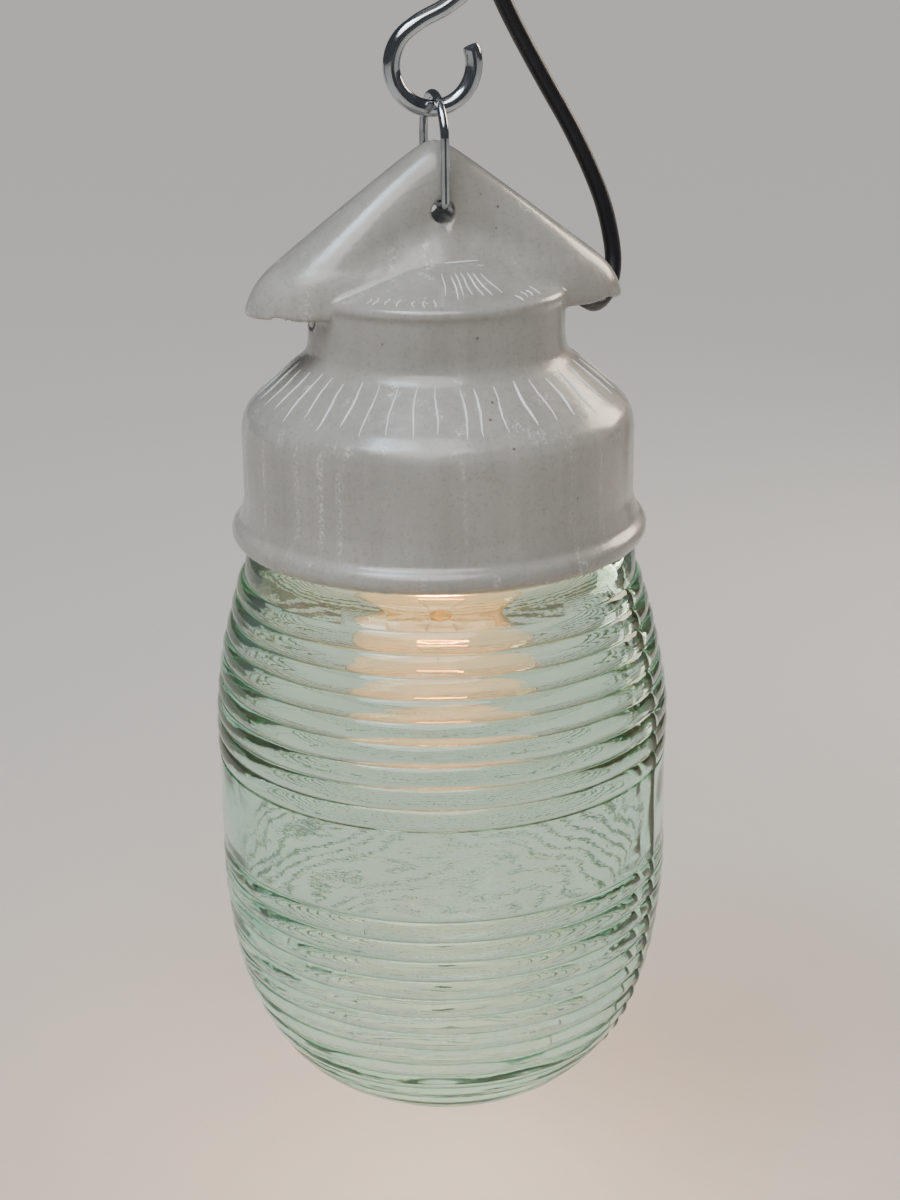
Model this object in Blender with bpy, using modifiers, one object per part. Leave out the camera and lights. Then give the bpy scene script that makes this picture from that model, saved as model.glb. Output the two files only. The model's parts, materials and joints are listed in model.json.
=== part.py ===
"""Barn lantern: a porcelain cap and a ribbed screw glass, hung by a wire bail and an S-hook.

Every dimension is in millimetres and every height is measured from the ceiling plate's top face.
"""
import math

import bmesh
import bpy
from mathutils import Matrix, Vector

MM = 0.001
GAP = 0.3

# Heights of the main features
NECK = -146.0            # reference plane half way up the porcelain neck
EYE_CENTRE = -20.0
HOOK_TOP = -36.1         # centre of the S-hook's upper loop
HOOK_LOW = -64.7         # centre of its lower loop
APEX = NECK + 59.8
BORE = NECK + 39.9
WING_BOTTOM = NECK + 10.3
POCKET_CENTRE = NECK + 9.0
ENTRY = NECK + 11.0      # cable entries in the neck
CAP_BOTTOM = NECK - 63.0
WAIST_TOP = NECK - 120.0
WAIST_LOW = NECK - 160.0
GLASS_BOTTOM = NECK - 251.0

# Heights of the swinging joints' axes: where each wire bears on the next
HOOK_PIVOT = EYE_CENTRE - 9.0
BAIL_PIVOT = HOOK_LOW - 12.5
CAP_PIVOT = BORE + 1.9

# Wires and cable
HOOK_WIRE = 2.6
HOOK_RADIUS = 12.5
EYE_WIRE = 2.5
EYE_RADIUS = 9.0
BAIL_WIRE = 1.35
BAIL_HALF = 13.0
CORD_RADIUS = 2.65

# Cable entries: a hole through the neck wall with a counterbore for a flange
ENTRY_RADIUS = 4.3
SEAT_RADIUS = 6.0
SEAT_FLOOR = 37.8
FLANGE_RADIUS = 5.4
FLANGE_FACE = 39.2

# Porcelain cap
ROOF_HALF_LENGTH = 58.7
ROOF_HALF_WIDTH = 20.0
BORE_RADIUS = 3.55
NECK_RADIUS = 39.3
LIP_RADIUS = 40.3
SKIRT_RADIUS = 60.7
BEAD_CENTRE = 61.2
BEAD_RADIUS = 3.8
CAVITY_RADIUS = 33.0
THREAD_WALL = 52.3
STEP_RADIUS = 44.5

# Glass
GLASS_RADIUS = 72.6
GLASS_WALL = 5.4
BASE_DEPTH = 92.0        # from the waist's lower end to where the base would close
JAR_NECK = 47.5
JAR_MOUTH = 42.6
RIB_DEPTH = 1.3
RIB_PITCH = 6.78
UPPER_RIBS = 9
LOWER_RIBS = 15
RIB_TOP = NECK - 73.0
BAND_LOW = NECK - 163.0

# Screw joint between glass and cap
THREAD_PITCH = 10.0
THREAD_BEAD = 1.9
THREAD_CLEAR = 3.4
THREAD_LOW = NECK - 57.5

# Lampholder and lamp
HOLDER_TOP = NECK - 11.3
HOLDER_LOW = NECK - 58.0
HOLDER_CEILING = NECK - 21.0
TERMINAL_X = 11.0
TERMINAL_HEIGHT = 5.0
TONGUE = 0.6
LAMP_TOP = NECK - 26.4
LAMP_LENGTH = 105.0
GLOBE_RADIUS = 30.0

CORD_ROUTE = [
    (14.0, 10.0, -3.5), (14.0, 10.2, -14.0), (16.2, 11.0, -26.0), (20.6, 12.4, -38.0),
    (26.4, 14.0, -50.0), (33.2, 15.6, -62.0), (40.4, 16.8, -74.0), (47.6, 17.6, -86.0),
    (53.8, 18.0, -98.0), (58.4, 17.9, -109.0), (61.0, 17.2, -119.0), (61.9, 16.0, -128.0),
    (60.4, 13.8, -134.8), (57.0, 10.6, -138.8), (52.6, 6.4, -139.8), (48.0, 2.2, -137.4),
    (44.0, 0.2, -135.2), (36.0, 0.0, -135.0), (29.0, 0.0, -135.0),
]
CORD_SPLITS = (-50.0, -98.0)
CORD_STEP = 8.0


def clear_scene():
    for obj in list(bpy.data.objects):
        bpy.data.objects.remove(obj, do_unlink=True)


def new_collection(name):
    collection = bpy.data.collections.new(name)
    bpy.context.scene.collection.children.link(collection)
    return collection


clear_scene()
PARTS = new_collection("barn_lantern")
CUTTERS = new_collection("cutters")


def material(name, colour, roughness, metallic=0.0):
    made = bpy.data.materials.new(name)
    made.use_nodes = True
    shader = made.node_tree.nodes["Principled BSDF"]
    shader.inputs["Base Color"].default_value = (*colour, 1.0)
    shader.inputs["Roughness"].default_value = roughness
    shader.inputs["Metallic"].default_value = metallic
    return made


COLOURS = {
    "porcelain": ((0.80, 0.79, 0.75), 0.25, 0.0),
    "white_porcelain": ((0.86, 0.85, 0.82), 0.30, 0.0),
    "green_glass": ((0.62, 0.86, 0.76), 0.06, 0.0),
    "lamp_glass": ((0.95, 0.90, 0.80), 0.05, 0.0),
    "zinc": ((0.66, 0.68, 0.70), 0.28, 1.0),
    "steel": ((0.50, 0.50, 0.50), 0.35, 1.0),
    "brass": ((0.78, 0.60, 0.28), 0.30, 1.0),
    "black_cable": ((0.02, 0.02, 0.025), 0.55, 0.0),
    "black_rubber": ((0.03, 0.03, 0.03), 0.70, 0.0),
    "brown_core": ((0.22, 0.09, 0.04), 0.50, 0.0),
    "blue_core": ((0.05, 0.12, 0.45), 0.50, 0.0),
    "filament": ((1.0, 0.62, 0.25), 0.40, 0.0),
}
MATERIALS = {name: material(name, *look) for name, look in COLOURS.items()}


def add(name, data, finish=None, collection=PARTS):
    obj = bpy.data.objects.new(name, data)
    collection.objects.link(obj)
    if finish:
        data.materials.append(MATERIALS[finish])
    else:
        obj.hide_render = True
        obj.display_type = "WIRE"
    return obj


def from_bmesh(name, bm, finish=None, collection=PARTS):
    bmesh.ops.scale(bm, vec=(MM, MM, MM), verts=bm.verts)
    mesh = bpy.data.meshes.new(name)
    bm.to_mesh(mesh)
    bm.free()
    return add(name, mesh, finish, collection)


def smooth(obj, angle=35.0):
    obj.data.shade_smooth()
    obj.data.set_sharp_from_angle(angle=math.radians(angle))
    return obj


def baked(obj):
    """The object with its modifiers, or its curve, made into one plain welded mesh."""
    view = obj.evaluated_get(bpy.context.evaluated_depsgraph_get())
    mesh = bpy.data.meshes.new_from_object(view)
    bm = bmesh.new()
    bm.from_mesh(mesh)
    bmesh.ops.remove_doubles(bm, verts=bm.verts, dist=0.00001)
    bm.to_mesh(mesh)
    bm.free()
    made = bpy.data.objects.new(obj.name + "_solid", mesh)
    made.matrix_world = obj.matrix_world
    for collection in obj.users_collection:
        collection.objects.link(made)
    made.hide_render = obj.hide_render
    made.display_type = obj.display_type
    name = obj.name
    bpy.data.objects.remove(obj, do_unlink=True)
    made.name = name
    return made


def turned(name, profile, finish=None, segments=24, collection=PARTS, closed=False):
    """A profile of (radius, height) points, top to bottom down the outer side, turned about Z."""
    points = [(r * MM, 0.0, z * MM) for r, z in profile]
    edges = [(i, i + 1) for i in range(len(points) - 1)]
    if closed:
        edges.append((len(points) - 1, 0))
    mesh = bpy.data.meshes.new(name)
    mesh.from_pydata(points, edges, [])
    obj = add(name, mesh, finish, collection)
    screw = obj.modifiers.new("turn", "SCREW")
    screw.steps = segments
    screw.render_steps = segments
    screw.use_merge_vertices = True
    screw.merge_threshold = 0.00001
    obj = baked(obj)
    return smooth(obj)


def ring(name, inner, outer, top, low, finish=None, segments=24, collection=PARTS):
    profile = [(inner, top), (outer, top), (outer, low), (inner, low)]
    return turned(name, profile, finish, segments, collection, closed=True)


def rod(name, radius, start, end, finish=None, segments=16, collection=PARTS):
    """A plain cylinder between two points."""
    start, end = Vector(start), Vector(end)
    bm = bmesh.new()
    bmesh.ops.create_cone(bm, cap_ends=True, segments=segments, radius1=radius, radius2=radius,
                          depth=(end - start).length)
    turn = Vector((0, 0, 1)).rotation_difference(end - start).to_matrix().to_4x4()
    bmesh.ops.transform(bm, matrix=Matrix.Translation((start + end) / 2) @ turn, verts=bm.verts)
    return smooth(from_bmesh(name, bm, finish, collection))


def block(name, size, centre, finish=None, collection=PARTS, bevel=0.0):
    bm = bmesh.new()
    bmesh.ops.create_cube(bm, size=1.0)
    bmesh.ops.scale(bm, vec=size, verts=bm.verts)
    bmesh.ops.translate(bm, vec=centre, verts=bm.verts)
    obj = from_bmesh(name, bm, finish, collection)
    if bevel:
        edge = obj.modifiers.new("edge", "BEVEL")
        edge.width = bevel * MM
        edge.segments = 1
    return obj


def strip(name, outline, width, thickness, finish):
    """A flat strip bent along an outline of (x, z) points and centred on the XZ plane."""
    bm = bmesh.new()
    near = [bm.verts.new((x, -width / 2, z)) for x, z in outline]
    edges = [bm.edges.new(pair) for pair in zip(near, near[1:])]
    grown = bmesh.ops.extrude_edge_only(bm, edges=edges)["geom"]
    far = [v for v in grown if isinstance(v, bmesh.types.BMVert)]
    bmesh.ops.translate(bm, vec=(0, width, 0), verts=far)
    made = from_bmesh(name, bm, finish)
    sheet = made.modifiers.new("thickness", "SOLIDIFY")
    sheet.thickness = thickness * MM
    sheet.offset = 0.0
    return baked(made)


def tube(name, points, radius, finish=None, resolution=2, cyclic=False, collection=PARTS):
    curve = bpy.data.curves.new(name, "CURVE")
    curve.dimensions = "3D"
    curve.bevel_depth = radius * MM
    curve.bevel_resolution = resolution
    curve.use_fill_caps = True
    spline = curve.splines.new("POLY")
    spline.points.add(len(points) - 1)
    for point, place in zip(spline.points, points):
        point.co = (place[0] * MM, place[1] * MM, place[2] * MM, 1.0)
    spline.use_cyclic_u = cyclic
    return baked(add(name, curve, finish, collection))


def combine(target, other, operation):
    modifier = target.modifiers.new(operation.lower(), "BOOLEAN")
    modifier.operation = operation
    modifier.object = other
    modifier.solver = "EXACT"
    return target


def fused(target):
    """The target with its Boolean modifiers made final, so that its cutters can be dropped."""
    used = [m.object for m in target.modifiers if m.type == "BOOLEAN"]
    made = baked(target)
    for other in used:
        bpy.data.objects.remove(other, do_unlink=True)
    return smooth(made)


def arc(centre, radius, start, end, count):
    """Points on a circle, in degrees, as (across, up) pairs."""
    turns = [math.radians(start + (end - start) * i / count) for i in range(count + 1)]
    return [(centre[0] + radius * math.cos(a), centre[1] + radius * math.sin(a)) for a in turns]


def helix(radius, low, turns, per_turn=26):
    count = int(turns * per_turn)
    step = math.tau / per_turn
    rise = THREAD_PITCH / per_turn
    return [(radius * math.cos(i * step), radius * math.sin(i * step), low + i * rise)
            for i in range(count + 1)]


def ease(value, low, high):
    t = min(1.0, max(0.0, (value - low) / (high - low)))
    return t * t * (3 - 2 * t)


# --- ceiling plate, eye and cable bush ------------------------------------------------------


def ceiling_plate():
    plate = turned("ceiling_plate", [(0, 0), (30.5, 0), (32, -1.2), (32, -3.0), (30.8, -4.0), (0, -4.0)],
                   "zinc", 32)
    combine(plate, rod("eye_hole", 2.8, (0, 0, -1.5), (0, 0, -9), collection=CUTTERS), "DIFFERENCE")
    combine(plate, rod("bush_hole", 5.3, (14, 10, 5), (14, 10, -9), collection=CUTTERS), "DIFFERENCE")
    for side in (-1, 1):
        hole = rod(f"screw_hole_{side}", 2.4, (0, 22 * side, 5), (0, 22 * side, -9), collection=CUTTERS)
        combine(plate, hole, "DIFFERENCE")
    return fused(plate)


def ceiling_eye():
    loop = arc((0, EYE_CENTRE), EYE_RADIUS, 82, 82 + 358, 28)
    points = [(0, 0, -2.0), (0, 0, -9.0)] + [(0, y, z) for y, z in loop[1:-1]]
    return smooth(tube("ceiling_eye", points, EYE_WIRE, "zinc"))


def ceiling_screws():
    for side, word in ((-1, "front"), (1, "rear")):
        y = 22 * side
        profile = [(0, -0.6), (2.0, -0.6), (2.0, -4.3), (4.2, -4.3), (4.0, -5.4), (2.4, -6.3), (0, -6.5)]
        screw = turned(f"plate_screw_{word}", profile, "zinc", 16)
        screw.location = (0, y * MM, 0)


def ceiling_bush():
    profile = [(3.0, -0.5), (5.0, -0.5), (5.0, -4.3), (6.6, -4.3), (6.4, -6.4), (4.6, -11.0), (3.0, -11.0)]
    bush = turned("ceiling_cord_bush", profile, "black_rubber", 20, closed=True)
    bush.location = (14 * MM, 10 * MM, 0)
    return bush


# --- S-hook and wire bail -------------------------------------------------------------------


def s_hook():
    middle = (HOOK_TOP + HOOK_LOW) / 2
    bend = arc((0, HOOK_LOW), HOOK_RADIUS, 24, -242, 24)
    half = bend[:-1] + [(-2.9, middle - 1.35)]
    other = [(-x, 2 * middle - z) for x, z in reversed(half)]
    points = [(x, 0, z) for x, z in half + other]
    return smooth(tube("s_hook", points, HOOK_WIRE, "zinc"))


def hanger_wire():
    top = HOOK_LOW - HOOK_RADIUS + HOOK_WIRE + GAP + BAIL_WIRE
    low = BORE + BORE_RADIUS - BAIL_WIRE - GAP
    corner = 2.4
    crown = arc((0, top - BAIL_HALF), BAIL_HALF, 180, 0, 14)
    left = arc((-BAIL_HALF + corner, low + corner), corner, 270, 180, 5)
    right = [(-y, z) for y, z in reversed(left)]
    outline = [(-0.6, low)] + left + crown + right + [(0.6, low)]
    return smooth(tube("hanger_wire", [(0, y, z) for y, z in outline], BAIL_WIRE, "zinc"))


# --- porcelain cap --------------------------------------------------------------------------


def ridge_height(x):
    drop = 0.76 * math.hypot(x, 3.7) - 2.8
    tip = max(0.0, (abs(x) - 46.0) / 12.7)
    return APEX - drop - 5.5 * tip ** 4


def roof_section(x, rows):
    """One cross-section of the saddle roof: an arch that turns into a tall gable at the middle."""
    reach = min(1.0, abs(x) / ROOF_HALF_LENGTH)
    width = ROOF_HALF_WIDTH * max(0.02, 1 - reach ** 3.2) ** 0.5
    top = ridge_height(x)
    spread = ease(abs(x), 3.0, 42.0)
    points = []
    for i in range(-rows, rows + 1):
        t = (abs(i) / rows) ** 1.5
        wing = (1 - (1 - t) ** 2.2) ** (1 / 2.2)
        crown = (1 - (1 - min(1.0, t / 0.4)) ** 2.2) ** (1 / 2.2)
        gable = 0.54 * crown + 0.46 * ease(t, 0.42, 0.85)
        side = (gable + (wing - gable) * spread) * width * (1 - 0.06 * ease(t, 0.9, 1.0))
        points.append((x, math.copysign(side, i) if i else 0.0, top - (top - WING_BOTTOM) * t))
    return points


def saddle_roof(columns=24, rows=7):
    bm = bmesh.new()
    sections = []
    for i in range(columns + 1):
        x = -ROOF_HALF_LENGTH * 0.998 * math.cos(math.pi * i / columns)
        sections.append([bm.verts.new(p) for p in roof_section(x, rows)])
    for a, b in zip(sections, sections[1:]):
        for j in range(len(a) - 1):
            bm.faces.new((a[j], b[j], b[j + 1], a[j + 1]))
        bm.faces.new((a[-1], b[-1], b[0], a[0]))
    bm.faces.new(sections[0])
    bm.faces.new(list(reversed(sections[-1])))
    bmesh.ops.recalc_face_normals(bm, faces=bm.faces)
    return from_bmesh("saddle_roof", bm, collection=CUTTERS)


def cap_profile():
    bead = arc((BEAD_CENTRE, NECK - 58.2), BEAD_RADIUS, 75, -72, 7)
    outer = [
        (0, NECK + 26.0), (17, NECK + 25.6), (39.2, NECK + 16.6), (LIP_RADIUS, NECK + 15.4),
        (LIP_RADIUS, NECK + 14.0), (NECK_RADIUS, NECK + 12.9), (NECK_RADIUS, NECK + 1.0),
        (39.9, NECK - 2.4), (41.4, NECK - 4.8), (56.0, NECK - 17.2), (58.9, NECK - 20.2),
        (60.3, NECK - 23.4), (SKIRT_RADIUS, NECK - 27.0), (SKIRT_RADIUS, NECK - 48.0),
    ]
    inner = [
        (61.0, NECK - 62.6), (59.6, CAP_BOTTOM), (53.2, CAP_BOTTOM), (THREAD_WALL, CAP_BOTTOM + 1.2),
        (THREAD_WALL, NECK - 30.7), (STEP_RADIUS, NECK - 30.7), (STEP_RADIUS, NECK - 27.0),
        (CAVITY_RADIUS + 2.0, NECK - 12.6), (0, NECK - 12.6),
    ]
    return outer + bead + inner


def wing_pocket(side):
    """The hollow under a wing, where the cable turns up out of the rain."""
    bm = bmesh.new()
    bmesh.ops.create_uvsphere(bm, u_segments=16, v_segments=10, radius=1.0)
    bmesh.ops.scale(bm, vec=(8.2, 13.0, 12.0), verts=bm.verts)
    bmesh.ops.translate(bm, vec=(47.5 * side, 0, POCKET_CENTRE), verts=bm.verts)
    return from_bmesh(f"pocket_{side}", bm, collection=CUTTERS)


def porcelain_cap():
    cap = turned("porcelain_cap", cap_profile(), "porcelain", 32)
    combine(cap, saddle_roof(), "UNION")
    ridge = tube("cap_thread", helix(51.2, THREAD_LOW, 1.1), THREAD_BEAD, collection=CUTTERS)
    combine(cap, ridge, "UNION")
    cavity = turned("cavity", [(0, NECK + 17.0), (CAVITY_RADIUS, NECK + 17.0), (CAVITY_RADIUS, NECK - 20.0),
                               (0, NECK - 20.0)], segments=32, collection=CUTTERS)
    combine(cap, cavity, "DIFFERENCE")
    bore = rod("bore", BORE_RADIUS, (0, -40, BORE), (0, 40, BORE), segments=24, collection=CUTTERS)
    combine(cap, bore, "DIFFERENCE")
    for side in (-1, 1):
        combine(cap, wing_pocket(side), "DIFFERENCE")
        for word, radius, start in (("entry", ENTRY_RADIUS, 25.0), ("seat", SEAT_RADIUS, SEAT_FLOOR)):
            hole = rod(f"{word}_{side}", radius, (start * side, 0, ENTRY), (49 * side, 0, ENTRY),
                       collection=CUTTERS)
            combine(cap, hole, "DIFFERENCE")
    for side in (-1, 1):
        hole = rod(f"bolt_hole_{side}", 2.3, (0, 9 * side, NECK + 10), (0, 9 * side, NECK + 27),
                   collection=CUTTERS)
        combine(cap, hole, "DIFFERENCE")
    return fused(cap)


def sideways(obj, side):
    """Lays a turned piece along X through a cable entry, its top pointing outwards."""
    obj.matrix_world = (Matrix.Translation((0, 0, ENTRY * MM))
                        @ Matrix.Rotation(math.radians(90 * side), 4, "Y"))
    return obj


def cable_grommet():
    back = SEAT_FLOOR + GAP
    profile = [(3.05, FLANGE_FACE), (FLANGE_RADIUS, FLANGE_FACE), (FLANGE_RADIUS, back), (4.0, back),
               (4.0, 33.3), (3.05, 31.4)]
    return sideways(turned("cable_grommet", profile, "black_rubber", 20, closed=True), 1)


def blanking_plug():
    back = SEAT_FLOOR + GAP
    profile = [(0, FLANGE_FACE), (5.0, FLANGE_FACE), (FLANGE_RADIUS, 38.8), (FLANGE_RADIUS, back),
               (4.0, back), (3.8, 33.3), (0, 33.3)]
    return sideways(turned("blanking_plug", profile, "porcelain", 20), -1)


# --- glass ----------------------------------------------------------------------------------


def barrel_radius(z):
    """Radius over the rib crests at a height: a shoulder, a straight waist and a rounded base."""
    if z > WAIST_TOP:
        return GLASS_RADIUS - 0.0201 * (z - WAIST_TOP) ** 1.6
    if z > WAIST_LOW:
        return GLASS_RADIUS
    depth = min(1.0, (WAIST_LOW - z) / BASE_DEPTH)
    return GLASS_RADIUS * (1 - depth ** 2.5) ** 0.318


def glass_neck():
    top = NECK - 34.3
    return [(JAR_MOUTH, top), (JAR_NECK - 0.6, top), (JAR_NECK, top - 0.7), (JAR_NECK, NECK - 62.3),
            (49.0, NECK - 63.7), (58.2, NECK - 63.9), (60.4, NECK - 65.8)]


def lower_wall():
    """Evenly spaced points down the rounded base, from the end of the plain band to the foot."""
    fine = [BAND_LOW - 0.25 * i for i in range(360)]
    path = [(barrel_radius(z), z) for z in fine if barrel_radius(z) > 30.0 and z > GLASS_BOTTOM]
    return spaced(path, RIB_PITCH / 2, 2 * LOWER_RIBS)


def spaced(path, step, count):
    """Points a fixed distance apart along a path of (across, up) points."""
    found = [path[0]]
    left = step
    for a, b in zip(path, path[1:]):
        length = math.dist(a, b)
        while length >= left and len(found) <= count:
            t = left / length
            a = (a[0] + (b[0] - a[0]) * t, a[1] + (b[1] - a[1]) * t)
            found.append(a)
            length = math.dist(a, b)
            left = step
        left -= length
    return found


def glass_outside():
    wall = glass_neck()
    for i in range(2 * UPPER_RIBS + 1):
        z = RIB_TOP - i * RIB_PITCH / 2
        wall.append((barrel_radius(z) - (0 if i % 2 else RIB_DEPTH), z))
    wall.append((GLASS_RADIUS - 0.4, NECK - 136.5))
    wall.append((GLASS_RADIUS - 0.4, BAND_LOW + 2.0))
    for i, (r, z) in enumerate(lower_wall()):
        depth = 0 if i % 2 else RIB_DEPTH
        lean = ease(NECK - z, 190.0, 250.0)
        wall.append((r - depth * (1 - lean), z + depth * lean))
    wall += [(27.0, GLASS_BOTTOM + 0.3), (25.5, GLASS_BOTTOM), (19.0, GLASS_BOTTOM), (0, GLASS_BOTTOM + 2.0)]
    return wall


def glass_inside():
    wall = [(0, GLASS_BOTTOM + 8.0), (24.0, GLASS_BOTTOM + 7.4)]
    for z in (-240.0, -228.0, -212.0, -190.0, -160.0, -120.0, -95.0, -80.0, -71.0):
        wall.append((barrel_radius(NECK + z - 3.0 * ease(-z, 200, 240)) - GLASS_WALL - 1.0, NECK + z))
    return wall + [(52.0, NECK - 67.6), (JAR_MOUTH, NECK - 62.0)]


def glass_jar():
    """The outside and inside walls joined at the mouth into one shell, with its screw thread."""
    profile = glass_outside() + glass_inside() + [(JAR_MOUTH, NECK - 34.3)]
    jar = turned("glass_jar", profile, "green_glass", 28)
    ridge = tube("jar_thread", helix(48.6, THREAD_LOW + THREAD_CLEAR, 1.1), THREAD_BEAD,
                 collection=CUTTERS)
    combine(jar, ridge, "UNION")
    return fused(jar)


def sealing_ring():
    return ring("sealing_ring", 42.8, 48.6, NECK - 31.0, NECK - 34.0, "black_rubber", 40)


# --- lampholder -----------------------------------------------------------------------------


def holder_bracket():
    """A strap bent like a staple, bolted to the cavity's ceiling, with two inturned feet."""
    outline = [(-12, NECK - 10.2), (-21, NECK - 10.2), (-21, NECK + 15.6), (21, NECK + 15.6),
               (21, NECK - 10.2), (12, NECK - 10.2)]
    strap = strip("holder_bracket", outline, 12, 1.5, "steel")
    strap.data.transform(Matrix.Rotation(math.radians(90), 4, "Z"))
    for side in (-1, 1):
        y = 9 * side
        combine(strap, rod(f"web_{side}", 2.3, (0, y, NECK + 8), (0, y, NECK + 20), collection=CUTTERS),
                "DIFFERENCE")
        y = 15.5 * side
        combine(strap, rod(f"foot_{side}", 2.0, (0, y, NECK - 5), (0, y, NECK - 20), collection=CUTTERS),
                "DIFFERENCE")
    return fused(strap)


def machine_screw(name, x, y, under_head, head_radius, head_height, shaft_radius, length, up, finish,
                  segments=16):
    """A cheese-head screw whose shaft runs up or down from under its head."""
    way = 1 if up else -1
    z = under_head
    profile = [(0, z + way * length), (shaft_radius, z + way * length), (shaft_radius, z),
               (head_radius, z), (head_radius, z - way * head_height), (0, z - way * head_height)]
    screw = turned(name, profile if up else list(reversed(profile)), finish, segments)
    screw.location = (x * MM, y * MM, 0)
    return screw


def holder_screws():
    for side, word in ((-1, "front"), (1, "rear")):
        machine_screw(f"bracket_bolt_{word}", 0, 9 * side, NECK + 14.5, 4.0, 3.0, 2.0, 10, True, "steel")
        machine_screw(f"holder_screw_{word}", 0, 15.5 * side, NECK - 9.1, 3.3, 2.2, 1.7, 9, False, "steel")


def lampholder_body():
    profile = [
        (0, HOLDER_TOP), (20.5, HOLDER_TOP), (21.5, HOLDER_TOP - 1), (21.5, NECK - 24.0),
        (20.2, NECK - 26.0), (20.2, NECK - 50.0), (21.8, NECK - 52.0), (21.8, HOLDER_LOW + 1),
        (20.8, HOLDER_LOW), (17.2, HOLDER_LOW), (16.2, HOLDER_LOW + 1), (16.2, HOLDER_CEILING),
        (0, HOLDER_CEILING),
    ]
    body = turned("lampholder_body", profile, "white_porcelain", 20)
    for side in (-1, 1):
        hole = rod(f"body_hole_{side}", 2.0, (0, 15.5 * side, NECK - 5), (0, 15.5 * side, NECK - 19.5),
                   collection=CUTTERS)
        combine(body, hole, "DIFFERENCE")
    return fused(body)


def centre_contact():
    """A springy tongue bent down so that its tip stands just above the lamp."""
    tip = LAMP_TOP + GAP + TONGUE / 2
    root = HOLDER_CEILING - GAP - TONGUE / 2
    return strip("centre_contact", [(-7, root), (-3, root), (0.5, tip), (3.5, tip)], 3.6, TONGUE, "brass")


def terminals():
    for side, word in ((-1, "line"), (1, "neutral")):
        x = TERMINAL_X * side
        low = HOLDER_TOP + GAP
        terminal = block(f"terminal_{word}", (6.4, 6.4, TERMINAL_HEIGHT),
                         (x, 0, low + TERMINAL_HEIGHT / 2), "brass")
        hole = rod(f"terminal_hole_{word}", 1.5, (x, 0, low + 1.2), (x, 0, low + 9), segments=10,
                   collection=CUTTERS)
        fused(combine(terminal, hole, "DIFFERENCE"))
        machine_screw(f"terminal_screw_{word}", x, 0, low + TERMINAL_HEIGHT + GAP, 2.3, 1.8, 1.2, 3.4,
                      False, "steel", 10)


def holder_contacts():
    ring("holder_shell", 13.7, 14.5, NECK - 23.0, NECK - 53.0, "brass", 24)
    block("side_contact", (0.8, 5.0, 12.0), (15.3, 0, NECK - 30.0), "brass")
    centre_contact()
    terminals()


def cable_cores():
    """The two insulated cores, from the end of the sheath to their terminals."""
    start = 28.6
    z = HOLDER_TOP + GAP + 2.6
    neutral = [(start, 1.1, ENTRY), (24.5, 1.2, ENTRY - 0.6), (21.6, 1.2, ENTRY - 4), (20.6, 1.0, ENTRY - 9),
               (20.2, 0.6, z + 5), (18.6, 0.2, z + 1.2), (16.4, 0, z), (14.6, 0, z)]
    line = [(start, -1.3, ENTRY), (22, -1.8, ENTRY - 1.2), (14, -3.2, ENTRY - 4), (4, -5.0, ENTRY - 8),
            (-8, -5.4, ENTRY - 11), (-16, -4.0, z + 6), (-19.4, -1.6, z + 2.4), (-18.6, -0.3, z + 0.3),
            (-16.4, 0, z), (-14.6, 0, z)]
    for name, points, finish in (("core_neutral", neutral, "blue_core"), ("core_line", line, "brown_core")):
        smooth(tube(name, rounded_route(points, 2.4), 0.9, finish))


# --- lamp -----------------------------------------------------------------------------------


def lamp_envelope():
    top = LAMP_TOP - 23.5
    centre = LAMP_TOP - LAMP_LENGTH + GLOBE_RADIUS
    globe = arc((0, centre), GLOBE_RADIUS, 48, -90, 9)
    neck = [(11.2, top), (11.8, top - 2.5), (13.4, top - 12), (16.0, top - 20)]
    outside = neck + globe[:-1] + [(0, globe[-1][1])]
    skin = 0.9
    inside = [(0, globe[-1][1] + skin)] + [(r * (1 - skin / GLOBE_RADIUS), centre + (z - centre) * 0.97)
                                           for r, z in reversed(globe[:-1])]
    inside += [(r - skin, z) for r, z in reversed(neck)]
    return turned("lamp_envelope", outside + inside, "lamp_glass", 20, closed=True)


def lamp_shell():
    top = LAMP_TOP - 3.0
    outside = [(11.0, top), (12.3, top - 0.8)]
    for i in range(5):
        z = top - 2.4 - 3.62 * i
        outside += [(13.1, z - 0.9), (12.3, z - 2.7)]
    low = top - 22.0
    outside += [(12.9, low + 1.0), (12.9, low)]
    inside = [(12.35, low), (11.6, low + 3.0), (10.4, top - 1.0)]
    return turned("lamp_shell", outside + inside, "steel", 16, closed=True)


def lamp_inside():
    top = LAMP_TOP
    turned("lamp_insulator", [(0, top - 0.9), (4.6, top - 0.9), (10.0, top - 3.2), (9.8, top - 5.0),
                              (0, top - 5.0)], "black_rubber", 24)
    turned("lamp_contact", [(0, top), (3.4, top - 0.2), (4.2, top - 0.6), (0, top - 0.6)], "brass", 20)
    turned("lamp_stem", [(0, top - 8.0), (5.0, top - 8.0), (5.2, top - 26.0), (4.2, top - 44.0),
                         (2.4, top - 52.0), (0, top - 53.0)], "lamp_glass", 20)
    glow = top - 74.0
    for side, word in ((-1, "left"), (1, "right")):
        points = [(3.0 * side, 0, top - 53.4), (5.2 * side, 0, top - 60), (8.4 * side, 0, glow + 0.6)]
        smooth(tube(f"lamp_lead_{word}", points, 0.4, "steel"))
    coil = [(x, 0, glow - 0.5 - 1.6 * math.cos(math.pi * x / 17.0)) for x in range(-8, 9)]
    smooth(tube("lamp_filament", coil, 0.5, "filament"))


# --- cable ----------------------------------------------------------------------------------


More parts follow.
